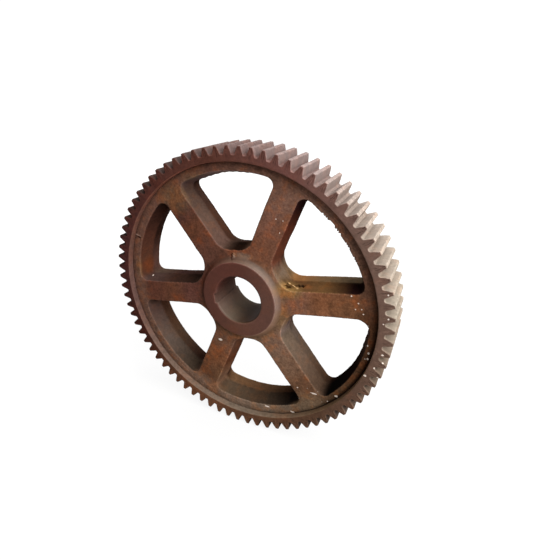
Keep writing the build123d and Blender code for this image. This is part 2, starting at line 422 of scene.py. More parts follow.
def wheel_tints(p, normal):
    x, y, z = p.T
    rho = np.hypot(x, z)
    theta = np.degrees(np.arctan2(z, x)) % 360.0
    ay = np.abs(y)
    lobe = np.minimum(np.floor(((theta - ARM_PHASE) % 360.0) / 60.0), 5).astype(int)
    a = (theta - ARM_PHASE) % 60.0
    tint = blend(around(theta, ARM_TINTS[0]), around(theta, ARM_TINTS[1]), smoothstep(82, 108, rho))
    tint = blend(tint, around(theta, ARM_TINTS[2]), smoothstep(112, 142, rho))
    tint = blend(tint, around(theta, FLANGE_TINTS), smoothstep(150, 168, rho))
    # the flange darker at the foot of the turned step: a little all round, and much more on the right, where it is
    # painted shadow cast by the ring's step
    step_foot_shadow = 0.25 + 0.60 * smoothstep(95, 45, np.abs((theta - 5 + 180) % 360 - 180))
    tint = tint * (1 - step_foot_shadow * smoothstep(175.0, 179.5, rho) * smoothstep(19.5, 20.5, ay))[:, None]
    # window walls, with the painted shadow that their listed colours carry
    g = DRAFT * ay / SHOULDER
    near = {"A": np.abs(ARM_HALF - g + stands_in(WALL_A, lobe, y) - rho * np.sin(np.radians(a))),
            "B": np.abs(ARM_HALF - g + stands_in(WALL_B, lobe, y) - rho * np.sin(np.radians(60.0 - a))),
            "C": np.abs(rho - FLANGE_R - g + stands_in(WALL_C, lobe, y)),
            "D": np.abs(rho - WINDOW_R + g - stands_in(WALL_D, lobe, y))}
    behind = smoothstep(-3.0, 4.0, y)
    along_arm = np.clip((rho - 78.0) / 72.0, 0, 1)
    total = np.zeros((len(p), 3))
    weight = np.full(len(p), 1e-9)
    for kind, d in near.items():
        t = along_arm if kind in "AB" else np.clip((a - 12.0) / 36.0, 0, 1)
        w = np.exp(-d / 2.8)
        for k in range(6):
            m = lobe == k
            if not m.any():
                continue
            front, back = WALL_TONES_AND_SHADE.get((k, kind), (PLAIN_WALL[0:1] * 3, PLAIN_WALL[1:2] * 3))
            c = [np.stack([np.interp(t[m], [0, 0.5, 1], [v[q] for v in side]) for q in range(3)], 1)
                 for side in (front, back)]
            total[m] += (w[m] * 1.0)[:, None] * blend(c[0], c[1], behind[m])
            weight[m] += w[m]
    wall = total / weight[:, None]
    side = smoothstep(0.86, 0.62, np.abs(normal[:, 1])) * smoothstep(57, 61, rho) * smoothstep(179.5, 178, rho)
    tint = blend(tint, wall, side * smoothstep(21.2, 20.4, ay))
    # hub: cone, turned ends, bore
    hub = smoothstep(66, 59, rho)
    olive = np.array([[0.175, 0.105, 0.062]])
    rightish = smoothstep(150, 60, np.abs((theta + 50 + 180) % 360 - 180))
    tint = blend(tint, olive, smoothstep(70, 60, rho) * rightish * 0.6 * (1 - side))
    tint = blend(tint, around(theta, CONE_TINTS), smoothstep(21.5, 23.5, ay) * smoothstep(62, 57, rho))
    ends = around(theta % 360.0, HUB_TINTS)
    tint = blend(tint, ends, smoothstep(29.3, 29.8, ay))
    inner = smoothstep(38.2, 36.9, rho) * smoothstep(30.0, 29.2, ay)
    # the bore darker toward its back end: painted shade deep in the bore
    tint = blend(tint, around(theta, BORE_TINTS) * (1 - 0.35 * smoothstep(-10, 24, y))[:, None], inner)
    # ochre bloom beside the hub and on three arm ends
    for c, r, k, tone in (((66, -19, 24), (26, 22, 15), 0.55, (0.30, 0.18, 0.062)),
                          ((62, -20, -20), (16, 20, 24), 0.40, (0.22, 0.13, 0.055)),
                          ((-96, -21, 124), (34, 10, 30), 0.50, (0.175, 0.105, 0.055)),
                          ((-58, -21, 152), (34, 8, 14), 0.45, (0.175, 0.105, 0.055)),
                          ((96, -21, -138), (38, 8, 24), 0.30, (0.20, 0.135, 0.080)),
                          ((-30, -21, -140), (22, 8, 26), 0.25, (0.17, 0.095, 0.045)),
                          ((-164, -5, 12), (13, 15, 20), 0.85, (0.115, 0.034, 0.014)),
                          ((-168, -21, 12), (9, 5, 22), 0.45, (0.160, 0.090, 0.045)),
                          ((84, -12, 31), (14, 8, 4), 0.55, (0.30, 0.10, 0.028)),
                          ((4, -22, 60), (20, 6, 6), 0.80, (0.20, 0.135, 0.100))):
        d = np.sqrt(((x - c[0]) / r[0]) ** 2 + ((y - c[1]) / r[1]) ** 2 + ((z - c[2]) / r[2]) ** 2)
        tint = blend(tint, np.array([tone]), k * smoothstep(1.0, 0.3, d))
    # the pits stay dark and the torn fin is bright
    tint = blend(tint, np.array([[0.040, 0.018, 0.006]]), 0.9 * smoothstep(1.3, -0.3, pits(x, y, z)))
    tint = blend(tint, np.array([[0.43, 0.255, 0.112]]), smoothstep(0.55, 0.15, torn_fin(x, y, z)))
    tint = blend(tint, np.array([[0.030, 0.012, 0.008]]), 0.8 * smoothstep(1.5, 0.6, path(x, y, z, CRACK)))
    tint = blend(tint, np.array([[0.24, 0.165, 0.125]]), 0.55 * smoothstep(2.4, 0.7, path(x, y, z, LIP)))
    tint = blend(tint, np.array([[0.050, 0.023, 0.016]]), smoothstep(2.0, 1.3, path(x, y, z, NICK)))
    tint = blend(tint, np.array([[0.24, 0.155, 0.120]]), 0.7 * smoothstep(1.5, 0.8, path(x, y, z, NICK_LIP)))
    # how strongly the rust varies: most on open cast faces, least where it was turned
    wild = 1.0 - 0.50 * side
    wild = wild * (1 - 0.72 * smoothstep(21.5, 23.0, ay) * smoothstep(62, 57, rho))
    wild = wild * (1 - 0.75 * inner)
    # dusty walls have no sheen at all, turned faces have a little
    sheen = (0.35 + 0.65 * smoothstep(22, 28, ay)) * (1 - side)
    return tint, wild, sheen


def build_wheel():
    h = 1.2
    lo = (-SEAM_R - 3, -HALF_WIDTH - 3, -SEAM_R - 3)
    hi = (SEAM_R + 3, HALF_WIDTH + 3, SEAM_R + 3)
    verts, quads = surface_nets(wheel_field, lo, hi, h)
    for _ in range(2):
        g = gradient(wheel_field, verts, 0.25)
        f = wheel_field(verts[:, 0], verts[:, 1], verts[:, 2])
        step = -(f / np.maximum((g * g).sum(1), 0.3))[:, None] * g
        size = np.linalg.norm(step, axis=1)[:, None]
        verts = verts + step * np.minimum(1, 0.6 * h / np.maximum(size, 1e-9))
    g = gradient(wheel_field, verts, 0.3)
    normal = g / np.maximum(np.linalg.norm(g, axis=1), 1e-6)[:, None]
    verts = verts + normal * cast_skin(verts)[:, None]
    mesh = make_mesh("wheel_centre_cast", verts, quads)
    o = link("wheel_centre_cast", mesh)
    faces = 2 * len(quads)
    if faces > 198000:
        thin = o.modifiers.new("thin", "DECIMATE")
        thin.ratio = 198000 / faces
        dg = bpy.context.evaluated_depsgraph_get()
        slim = bpy.data.meshes.new_from_object(o.evaluated_get(dg), depsgraph=dg)
        o.modifiers.remove(thin)
        o.data = slim
        bpy.data.meshes.remove(mesh)
        mesh = slim
        mesh.name = "wheel_centre_cast"
        mesh.polygons.foreach_set("use_smooth", np.ones(len(mesh.polygons), bool))
    p = points(mesh)
    # how sharply the surface turns: above 0 on outside edges, below 0 in corners
    def turn(eps):
        f0 = wheel_field(p[:, 0], p[:, 1], p[:, 2])
        total = -6 * f0
        for k in range(3):
            for s in (-eps, eps):
                q = p.copy()
                q[:, k] += s
                total = total + wheel_field(q[:, 0], q[:, 1], q[:, 2])
        return total / eps
    g = gradient(wheel_field, p, 1.2)
    normal = g / np.maximum(np.linalg.norm(g, axis=1), 1e-6)[:, None]
    tint, wild, sheen = wheel_tints(p, normal)
    colours(mesh, "tint", tint)
    floats(mesh, "wild", wild)
    floats(mesh, "sheen", sheen)
    rho, ay = np.hypot(p[:, 0], p[:, 2]), np.abs(p[:, 1])
    # edge: outside edges, lightened in the material partly as rubbed wear and partly as a painted highlight; weaker in
    # the bore
    floats(mesh, "edge", smoothstep(0.35, 1.10, turn(1.5)) * smoothstep(6, 14, ay + 40 * (rho < 45))
           * (1 - 0.75 * smoothstep(40, 36, rho) * smoothstep(29.5, 27.5, ay)))
    # corners: concave corners, darkened in the material as painted shade with dirt
    floats(mesh, "corner_shade_and_dirt", smoothstep(0.15, 1.0, -turn(5.0)))
    return o


# -------------------------------------------------------- the toothed ring ----
def inv(a):
    return math.tan(a) - a


def half_angle(r):
    alpha = math.acos(min(1.0, PITCH_R * math.cos(math.radians(20)) / r))
    return math.pi / (2 * TEETH) + inv(math.radians(20)) - inv(alpha)


def tooth_half_profile():
    """Half a tooth and half a space, from the space's middle to the tooth's middle, as
    points of local x (across) and y (radius) with the tooth's centre at x = 0."""
    pts = []
    half_pitch = math.pi / TEETH
    slope = math.acos(PITCH_R * math.cos(math.radians(20)) / ROOT_R)
    bend = (math.pi / 2 + slope) / 2
    reach = 1.5 / math.tan(bend)
    root_half = half_angle(ROOT_R)
    for a in np.linspace(half_pitch, root_half + reach / ROOT_R, 3):
        pts.append((ROOT_R * math.sin(a), ROOT_R * math.cos(a)))
    # fillet arc as a smooth curve between floor and flank
    p0 = np.array(pts[-1])
    rs = ROOT_R + reach * math.cos(slope)
    p2 = np.array((rs * math.sin(half_angle(rs)), rs * math.cos(half_angle(rs))))
    p1 = np.array((ROOT_R * math.sin(root_half), ROOT_R * math.cos(root_half)))
    for t in (0.35, 0.7, 1.0):
        q = (1 - t) ** 2 * p0 + 2 * t * (1 - t) * p1 + t * t * p2
        pts.append(tuple(q))
    round_tip = 0.95
    for r in np.linspace(rs, TIP_R - round_tip, 7)[1:]:
        a = half_angle(r)
        pts.append((r * math.sin(a), r * math.cos(a)))
    ex = pts[-1][0]
    for t in (30, 60, 90):
        b = math.radians(t)
        pts.append((ex - round_tip * (1 - math.cos(b)) * 0.85, TIP_R - round_tip * (1 - math.sin(b))))
    pts.append((pts[-1][0] * 0.45, TIP_R))
    pts.append((0.0, TIP_R))
    return np.array(pts)


FACE_TINTS = [(0, (0.143, 0.085, 0.064)), (35, (0.158, 0.095, 0.075)), (70, (0.146, 0.063, 0.053)),
              (100, (0.098, 0.035, 0.024)), (165, (0.059, 0.020, 0.018)),
              (210, (0.046, 0.013, 0.008)), (250, (0.142, 0.061, 0.030)),
              (310, (0.091, 0.047, 0.028))]
FLANK_TINTS = [(10, (0.282, 0.239, 0.192)), (40, (0.287, 0.236, 0.200)),
               (62, (0.203, 0.154, 0.144)), (90, (0.130, 0.088, 0.082)),
               (112, (0.076, 0.051, 0.046)), (135, (0.044, 0.028, 0.024)),
               (200, (0.036, 0.022, 0.018)), (275, (0.040, 0.021, 0.013)),
               (318, (0.068, 0.045, 0.034)), (345, (0.148, 0.108, 0.079))]
STEP_TINTS = [(20, (0.120, 0.072, 0.042)), (110, (0.254, 0.098, 0.067)),
              (160, (0.145, 0.074, 0.056)), (190, (0.130, 0.073, 0.063)),
              (225, (0.153, 0.102, 0.079)), (270, (0.182, 0.137, 0.101)),
              (310, (0.157, 0.096, 0.055))]


def build_ring():
    rng = np.random.RandomState(77)
    half = tooth_half_profile()
    left = half * [-1, 1]
    one = np.vstack([left, half[::-1][1:-1]])        # space middle .. tip .. before next space
    m = len(one)
    loops_x, loops_r, tooth_of, where = [], [], [], []
    for i in range(TEETH):
        pts = one[::-1].copy()      # from the clockwise side to the counter-clockwise
        height = np.clip((pts[:, 1] - ROOT_R) / (TIP_R - ROOT_R), 0, 1)
        # the teeth are worn thinner toward their tips, the lower left ones most
        where = math.radians(TOOTH_PHASE + i * 360.0 / TEETH)
        rough = 0.5 + 0.5 * math.cos(where - math.radians(235))
        pts[:, 0] *= 1 - height * rng.uniform(0.02, 0.07 + 0.10 * rough)
        pts[:, 0] += height ** 2 * rng.uniform(-0.35, 0.35) * rough
        pts[:, 1] -= height ** 2 * rng.uniform(0.0, 0.30 + 0.35 * rough)
        a = math.radians(TOOTH_PHASE + i * 360.0 / TEETH + rng.uniform(-0.04, 0.04))
        # local +y is radial, local -x is counter-clockwise
        ca, sa = math.cos(a), math.sin(a)
        x = pts[:, 1] * ca + pts[:, 0] * sa
        z = pts[:, 1] * sa - pts[:, 0] * ca
        loops_x.append(np.c_[x, z])
        loops_r.append(height)
        tooth_of.append(np.full(len(pts), i))
    loop = np.vstack(loops_x)
    height = np.concatenate(loops_r)
    ang = np.unwrap(np.arctan2(loop[:, 1], loop[:, 0]))
    order_ok = np.all(np.diff(ang) > -1e-4)
    n = len(loop)
    nxt, prv = np.roll(loop, -1, 0), np.roll(loop, 1, 0)
    tang = nxt - prv
    out = np.c_[tang[:, 1], -tang[:, 0]]
    out /= np.linalg.norm(out, axis=1)[:, None]
    radial = loop / np.linalg.norm(loop, axis=1)[:, None]
    out[(out * radial).sum(1) < -0.2] *= -1
    # sections along the axis, with rounded ends to every tooth
    r_end = 0.85
    ends = [(0.0, r_end), (0.12, 0.55), (0.38, 0.25), (0.85, 0.0)]
    inner = np.linspace(-HALF_WIDTH + 2.6, HALF_WIDTH - 2.6, 13)
    rows = [(-HALF_WIDTH + a, b) for a, b in ends] + [(y, 0.0) for y in inner] + \
           [(HALF_WIDTH - a, b) for a, b in ends[::-1]]
    verts, kind, hgt = [], [], []
    for y, inset in rows:
        pts = loop - out * inset
        verts.append(np.c_[pts[:, 0], np.full(n, y), pts[:, 1]])
        kind.append(np.ones(n))
        hgt.append(height)
    outer_rows = len(rows)
    # side faces and bore, from the front profile round to the back one
    def radial_row(y, radius=None, share=None, edge=None):
        a = ang
        if radius is not None:
            return np.c_[radius * np.cos(a), np.full(n, y), radius * np.sin(a)]
        e = edge
        re = np.linalg.norm(e, axis=1)
        ae = np.arctan2(e[:, 1], e[:, 0])
        r = (SEAM_R + 0.8) + share * (re - SEAM_R - 0.8)
        return np.c_[r * np.cos(ae), np.full(n, y), r * np.sin(ae)]
    end_edge = loop - out * r_end
    shares = [0.965, 0.72, 0.42, 0.15]
    cap = []
    for s in shares:
        cap.append((radial_row(HALF_WIDTH, share=s, edge=end_edge), 0.0))
    cap.append((radial_row(HALF_WIDTH, radius=SEAM_R + 0.8), 0.0))
    cap.append((radial_row(HALF_WIDTH - 0.25, radius=SEAM_R + 0.2), 0.0))
    cap.append((radial_row(HALF_WIDTH - 0.8, radius=SEAM_R), 0.0))
    for y in (21.6, 20.6, -20.6, -21.6):
        cap.append((radial_row(y, radius=SEAM_R), 0.0))
    cap.append((radial_row(-HALF_WIDTH + 0.8, radius=SEAM_R), 0.0))
    cap.append((radial_row(-HALF_WIDTH + 0.25, radius=SEAM_R + 0.2), 0.0))
    cap.append((radial_row(-HALF_WIDTH, radius=SEAM_R + 0.8), 0.0))
    for s in shares[::-1]:
        cap.append((radial_row(-HALF_WIDTH, share=s, edge=end_edge), 0.0))
    for row, k in cap:
        verts.append(row)
        kind.append(np.full(n, k))
        hgt.append(np.zeros(n))
    rows_total = len(verts)
    v = np.vstack(verts)
    kind = np.concatenate(kind)
    hgt = np.concatenate(hgt)
    grid = np.arange(rows_total * n).reshape(rows_total, n)
    a = grid
    b = np.roll(grid, -1, 1)
    c = np.roll(b, -1, 0)
    d = np.roll(grid, -1, 0)
    faces = np.stack([a, d, c, b], -1).reshape(-1, 4)
    # wear: flanks are a little hollow, ends of the teeth are knocked and burred
    rho = np.hypot(v[:, 0], v[:, 2])
    rad = np.c_[v[:, 0] / rho, np.zeros(len(v)), v[:, 2] / rho]
    theta = np.degrees(np.arctan2(v[:, 2], v[:, 0]))
    tooth = smoothstep(ROOT_R, ROOT_R + 2, rho)
    nearend = smoothstep(9.0, 0.0, HALF_WIDTH - np.abs(v[:, 1]))
    knocks = smoothstep(0.30, 0.62, perlin(v * [1, 0.55, 1], 7.5, 4)) * nearend
    low = smoothstep(40, 10, np.abs(((theta + 72) + 180) % 360 - 180))
    pull = hgt ** 1.5 * (0.9 * knocks * (1 + 0.9 * low) + 0.16 * (1 + fbm(v, 9.0, 2, 5)))
    v = v - rad * pull[:, None]
    outward = np.zeros_like(v)
    big = np.tile(out, (outer_rows, 1))
    outward[:len(big), 0], outward[:len(big), 2] = big[:, 0], big[:, 1]
    skin = 0.10 * fbm(v, 8.0, 2, 1) + 0.06 * perlin(v, 2.6, 7)
    v = v + outward * (skin * (1 + 0.4 * hgt))[:, None]
    face = (1 - kind) * (rho > SEAM_R + 0.5) * (rho < ROOT_R + 20)
    v[:, 1] += -np.sign(v[:, 1]) * face * (0.05 + 0.05 * fbm(v, 14.0, 2, 2))
    v[:, 1] = np.clip(v[:, 1], -HALF_WIDTH, HALF_WIDTH)
    mesh = make_mesh("toothed_ring_cut", v, faces)
    floats(mesh, "tooth", kind * smoothstep(0.0, 0.10, hgt))
    floats(mesh, "height", hgt)
    # base colours: side faces, flanks, the floor between teeth, and the step wall
    theta = theta % 360.0
    tint = around(theta, FACE_TINTS)
    flank = blend(around(theta, FLANK_TINTS), around(theta, FACE_TINTS) * 1.1, smoothstep(0.22, 0.03, hgt)
                  * (0.03 + 0.57 * smoothstep(30, 80, np.abs((theta - 15 + 180) % 360 - 180))))
    far = smoothstep(70, 120, np.abs((theta - 20 + 180) % 360 - 180)) * smoothstep(6, 24, v[:, 1])
    flank = blend(flank, np.array([[0.135, 0.088, 0.068]]), 0.65 * far * smoothstep(0.05, 0.3, hgt))
    ends = smoothstep(0.0, 0.9, HALF_WIDTH - np.abs(v[:, 1]))
    tint = blend(tint, flank, kind * (0.25 + 0.75 * ends))
    step = smoothstep(SEAM_R + 0.5, SEAM_R + 0.1, rho)
    tint = blend(tint, around(theta, STEP_TINTS), step)
    lit = smoothstep(30, 110, np.abs((theta - 10 + 180) % 360 - 180))      # away from the right
    # the foot of the step wall darkened as painted shade: deep on the right, where the step wall faces away from the
    # light, less elsewhere
    tint = tint * (1 - (0.80 - 0.55 * lit) * step * smoothstep(21.9, 20.9, np.abs(v[:, 1])))[:, None]
    colours(mesh, "tint", tint)
    floats(mesh, "sheen", (1 - kind * lit) * (1 - step))
    floats(mesh, "wild", 0.42 - 0.05 * kind + 0.25 * smoothstep(30, 110, np.abs((theta - 20 + 180) % 360 - 180)))
    # edge: tooth tips and tooth ends, lightened in the material partly as rubbed wear and partly as a painted
    # highlight; kept mainly on the lit right side
    edge = kind * np.maximum(smoothstep(0.8, 1.0, hgt) * 0.7, smoothstep(1.6, 0.2, HALF_WIDTH - np.abs(v[:, 1])))
    floats(mesh, "edge", edge * (1 - 0.9 * smoothstep(70, 120, np.abs((theta - 20 + 180) % 360 - 180))))
    print("ring order", order_ok, "verts", len(v), "faces", len(faces))
    return link("toothed_ring_cut", mesh)


wheel = build_wheel()
ring = build_ring()
print("wheel faces", len(wheel.data.polygons), "ring faces", len(ring.data.polygons))


# --------------------------------------------------------------- materials ----
class Nodes:
    """A small helper that wires shader nodes."""

    def __init__(self, name):
        self.mat = bpy.data.materials.new(name)
        self.mat.use_nodes = True
        self.tree = self.mat.node_tree
        self.tree.nodes.clear()
        self.n = self.tree.nodes
        self.out = self.n.new("ShaderNodeOutputMaterial")
        self.bsdf = self.n.new("ShaderNodeBsdfPrincipled")
        self.tree.links.new(self.bsdf.outputs[0], self.out.inputs["Surface"])
        self.coord = self.n.new("ShaderNodeTexCoord").outputs["Object"]
        sep = self.n.new("ShaderNodeSeparateXYZ")
        self.link(self.coord, sep.inputs[0])
        self.x, self.y, self.z = sep.outputs
        geo = self.n.new("ShaderNodeNewGeometry")
        nsep = self.n.new("ShaderNodeSeparateXYZ")
        self.link(geo.outputs["Normal"], nsep.inputs[0])
        self.nx, self.ny, self.nz = nsep.outputs
        self.rho = self.math("SQRT", self.math("ADD", self.math("MULTIPLY", self.x, self.x),
                                               self.math("MULTIPLY", self.z, self.z)))

    def link(self, a, b):
        self.tree.links.new(a, b)

    def feed(self, socket, value):
        if isinstance(value, bpy.types.NodeSocket):
            self.link(value, socket)
        elif isinstance(value, (tuple, list)) and len(value) == 3 and len(socket.default_value) == 4:
            socket.default_value = (*value, 1.0)
        else:
            socket.default_value = value

    def math(self, op, a, b=0.0, clamp=False):
        m = self.n.new("ShaderNodeMath")
        m.operation = op
        m.use_clamp = clamp
        self.feed(m.inputs[0], a)
        self.feed(m.inputs[1], b)
        return m.outputs[0]

    def add(self, a, b):
        return self.math("ADD", a, b)

    def mul(self, a, b):
        return self.math("MULTIPLY", a, b)

    def step(self, value, low, high):
        """Smooth 0 to 1 as value goes from low to high."""
        m = self.n.new("ShaderNodeMapRange")
        m.interpolation_type = "SMOOTHSTEP"
        self.feed(m.inputs[0], value)
        lo, hi, a, b = low, high, 0.0, 1.0
        if low > high:
            lo, hi, a, b = high, low, 1.0, 0.0
        m.inputs[1].default_value, m.inputs[2].default_value = lo, hi
        m.inputs[3].default_value, m.inputs[4].default_value = a, b
        return m.outputs[0]

    def noise(self, size_mm, detail=3.0, rough=0.55, seed=0.0, stretch=None, distort=0.0):
        m = self.n.new("ShaderNodeTexNoise")
        m.noise_dimensions = "4D"
        vec = self.coord
        if stretch:
            mp = self.n.new("ShaderNodeMapping")
            mp.inputs["Scale"].default_value = stretch
            self.link(vec, mp.inputs[0])
            vec = mp.outputs[0]
        self.link(vec, m.inputs["Vector"])
        m.inputs["W"].default_value = seed
        m.inputs["Scale"].default_value = 1000.0 / size_mm
        m.inputs["Detail"].default_value = detail
        m.inputs["Roughness"].default_value = rough
        m.inputs["Distortion"].default_value = distort
        return m.outputs["Fac"]

    def voronoi(self, size_mm, feature="F1", randomness=1.0, out="Distance"):
        m = self.n.new("ShaderNodeTexVoronoi")
        m.feature = feature
        self.link(self.coord, m.inputs["Vector"])
        m.inputs["Scale"].default_value = 1000.0 / size_mm
        m.inputs["Randomness"].default_value = randomness
        return m.outputs[out]

    def attr(self, name):
        m = self.n.new("ShaderNodeAttribute")
        m.attribute_name = name
        return m.outputs["Fac"]

    def mix(self, fac, a, b, mode="MIX"):
        m = self.n.new("ShaderNodeMix")
        m.data_type = "RGBA"
        m.blend_type = mode
        self.feed(m.inputs[0], fac)
        self.feed(m.inputs[6], a)
        self.feed(m.inputs[7], b)
        return m.outputs[2]

    def spot(self, centre_mm, size_mm, soft=0.6):
        """1 inside an ellipsoid about centre, falling to 0 at its skin."""
        s = self.n.new("ShaderNodeVectorMath")
        s.operation = "SUBTRACT"
        self.link(self.coord, s.inputs[0])
        s.inputs[1].default_value = [c * MM for c in centre_mm]
        d = self.n.new("ShaderNodeVectorMath")
        d.operation = "DIVIDE"
        self.link(s.outputs[0], d.inputs[0])
        d.inputs[1].default_value = [c * MM for c in size_mm]
        l = self.n.new("ShaderNodeVectorMath")
        l.operation = "LENGTH"
        self.link(d.outputs[0], l.inputs[0])
        return self.step(l.outputs["Value"], 1.0, 1.0 - soft)

    def bump(self, height, strength, distance_mm, normal=None):
        b = self.n.new("ShaderNodeBump")
        b.inputs["Strength"].default_value = strength
        b.inputs["Distance"].default_value = distance_mm * MM
        self.feed(b.inputs["Height"], height)
        if normal is not None:
            self.link(normal, b.inputs["Normal"])
        return b.outputs[0]


def specks(m, col, spots):
    """Small dried splashes of pale mortar."""
    pale = (0.80, 0.70, 0.62)
    ragged = m.mul(m.math("SUBTRACT", m.noise(2.2, 2, 0.6, 31.0), 0.5), 0.9)
    for centre, size in spots:
        col = m.mix(m.mul(m.step(m.add(m.spot(centre, size, 1.0), ragged), 0.40, 0.60), 0.95), col, pale)
    cell = m.n.new("ShaderNodeTexVoronoi")
    cell.feature = "F1"
    m.link(m.coord, cell.inputs["Vector"])
    cell.inputs["Scale"].default_value = 1000.0 / 7.0
    pick = m.n.new("ShaderNodeSeparateColor")
    m.link(cell.outputs["Color"], pick.inputs[0])
    dot = m.mul(m.step(cell.outputs["Distance"], 0.17, 0.09), m.step(pick.outputs[0], 0.78, 0.84))
    where = m.math("MAXIMUM", m.spot((176, -24, -14), (34, 16, 62), 0.6),
                   m.mul(m.spot((120, -21, -118), (60, 10, 50), 0.8), 0.7))
    return m.mix(m.mul(m.mul(dot, m.step(where, 0.25, 0.75)), 0.45), col, pale)


def rust(m, tint, seed, fine_mm, warm, deep):
    """Mottled rust about a base colour: patches, grain, crumbs and warm bloom.  The
    mesh's "wild" attribute says how strong all of it is."""
    wild = m.attr("wild")
    big = m.noise(34, 3, 0.6, seed)
    mid = m.noise(9, 4, 0.60, seed + 1)
    fine = m.noise(fine_mm, 4, 0.66, seed + 2)
    grit = m.noise(1.1, 3, 0.7, seed + 3)

    def about_one(value, low, high, depth):
        """From 1 - depth to 1 + depth as value goes from low to high, scaled by wild."""
        t = m.math("SUBTRACT", m.mul(m.step(value, low, high), 2.0), 1.0)
        return m.add(1.0, m.mul(m.mul(t, depth), wild))

    gain = m.mul(about_one(mid, 0.30, 0.70, 0.20), about_one(fine, 0.30, 0.70, 0.26))
    v = m.n.new("ShaderNodeVectorMath")
    v.operation = "SCALE"
    m.link(tint, v.inputs[0])
    m.link(gain, v.inputs["Scale"])
    col = v.outputs[0]
    red = m.mul(m.step(m.add(m.mul(big, 0.55), m.mul(mid, 0.45)), 0.48, 0.60), m.mul(wild, 0.85))
    col = m.mix(red, col, m.mix(1.0, col, warm, "MULTIPLY"))
    low = m.mul(m.step(m.add(m.mul(big, 0.5), m.mul(mid, 0.5)), 0.45, 0.35), m.mul(wild, 0.50))
    col = m.mix(low, col, m.mix(1.0, col, deep, "MULTIPLY"))
    crumbs = m.mul(m.step(m.add(m.mul(grit, 0.7), m.mul(mid, 0.3)), 0.585, 0.66), m.mul(wild, 0.60))
    col = m.mix(crumbs, col, m.mix(1.0, col, (1.75, 1.85, 1.90), "MULTIPLY"))
    pits = m.mul(m.step(m.add(m.mul(grit, 0.6), m.mul(fine, 0.4)), 0.40, 0.34), m.mul(wild, 0.55))
    col = m.mix(pits, col, m.mix(1.0, col, (0.42, 0.38, 0.36), "MULTIPLY"))
    return col, big, mid, fine, grit


def cast_material():
    m = Nodes("rusted_cast_iron")
    tint = m.n.new("ShaderNodeAttribute")
    tint.attribute_name = "tint"
    col, big, mid, fine, grit = rust(m, tint.outputs["Color"], 1.0, 3.0, (1.20, 0.88, 0.64), (0.70, 0.78, 0.80))
    ay = m.math("ABSOLUTE", m.y)
    turned = m.math("MAXIMUM", m.step(ay, 0.0291, 0.0297), m.step(m.rho, 0.0372, 0.0366))
    # rubbed outside edges, dirt in the corners, and a hairline where the ring sits
    # outside edges lightened: partly rubbed wear, partly a painted highlight where the rounded edges catch the light
    col = m.mix(m.mul(m.mul(m.attr("edge"), m.step(fine, 0.28, 0.46)), 0.72), col,
                m.mix(1.0, col, (1.75, 1.9, 2.05), "MULTIPLY"))
    # corners darkened: painted shade in the concave corners, with dirt
    corner_shade_and_dirt = m.mul(m.attr("corner_shade_and_dirt"), m.math("SUBTRACT", 1.0, turned))
    col = m.mix(m.mul(corner_shade_and_dirt, 0.60), col, m.mix(1.0, col, (0.22, 0.18, 0.16), "MULTIPLY"))
    # a near-black hairline where the ring sits, on the right side only: painted shadow of the ring's step over the
    # joint
    seam = m.mul(m.step(m.rho, 0.1786, 0.1803), m.step(ay, 0.0195, 0.0205))
    col = m.mix(m.mul(seam, m.step(m.x, -0.02, 0.10)), col, (0.020, 0.009, 0.006))
    col = specks(m, col, (((-155.4, -7.4, -3.4), (2.4, 3.2, 2.4)), ((-34.1, -21, -74.5), (5.4, 3, 3.4)),
                          ((106.0, -21, -119.2), (8.4, 3, 2.2)), ((39.7, -21, -165.3), (7.0, 3, 2.2)),
                          ((77.6, -21, -160.4), (6.4, 3, 2.1)), ((136.4, -21, -113.0), (4.2, 3, 3.0)),
                          ((171.5, -21, -37.3), (2.2, 3, 3.2)), ((169.5, -21, -27.2), (1.9, 3, 2.2)),
                          ((171.1, -21, -45.4), (2.2, 3, 3.0)), ((48.9, -21, 115.1), (1.5, 3, 1.3)),
                          ((57.9, -21, 113.8), (1.3, 3, 1.3)), ((145.6, -21, 33.8), (2.0, 3, 1.7)),
                          ((154.4, -21, 26.3), (1.9, 3, 1.6)), ((151.6, -21, 17.7), (1.6, 3, 1.4)),
                          ((158.7, -21, 19.2), (1.7, 3, 1.5)), ((161.3, -21, 13.4), (1.5, 3, 1.4)),
                          ((83.6, -21, -117.2), (2.0, 3, 1.6)), ((85.6, -21, -134.7), (1.9, 3, 1.6)),
                          ((125.7, -21, -125.1), (1.9, 3, 1.6)), ((53.9, -21, 98.4), (1.2, 3, 1.8))))
    m.feed(m.bsdf.inputs["Base Color"], col)
    rough = m.add(m.mul(fine, 0.22), 0.72)
    rough = m.math("SUBTRACT", rough, m.mul(turned, 0.08))
    m.feed(m.bsdf.inputs["Roughness"], m.math("MAXIMUM", rough, 0.45))
    m.feed(m.bsdf.inputs["Specular IOR Level"], m.mul(m.attr("sheen"), 0.08))
    h = m.add(m.mul(m.noise(3.2, 5, 0.65, 8.0), 0.6), m.mul(m.voronoi(2.2), -0.25))
    h = m.mul(h, m.math("SUBTRACT", 1.0, m.mul(turned, 0.75)))
    b = m.bump(h, 0.45, 0.8)
    m.link(m.bump(grit, 0.25, 0.2, b), m.bsdf.inputs["Normal"])
    return m.mat


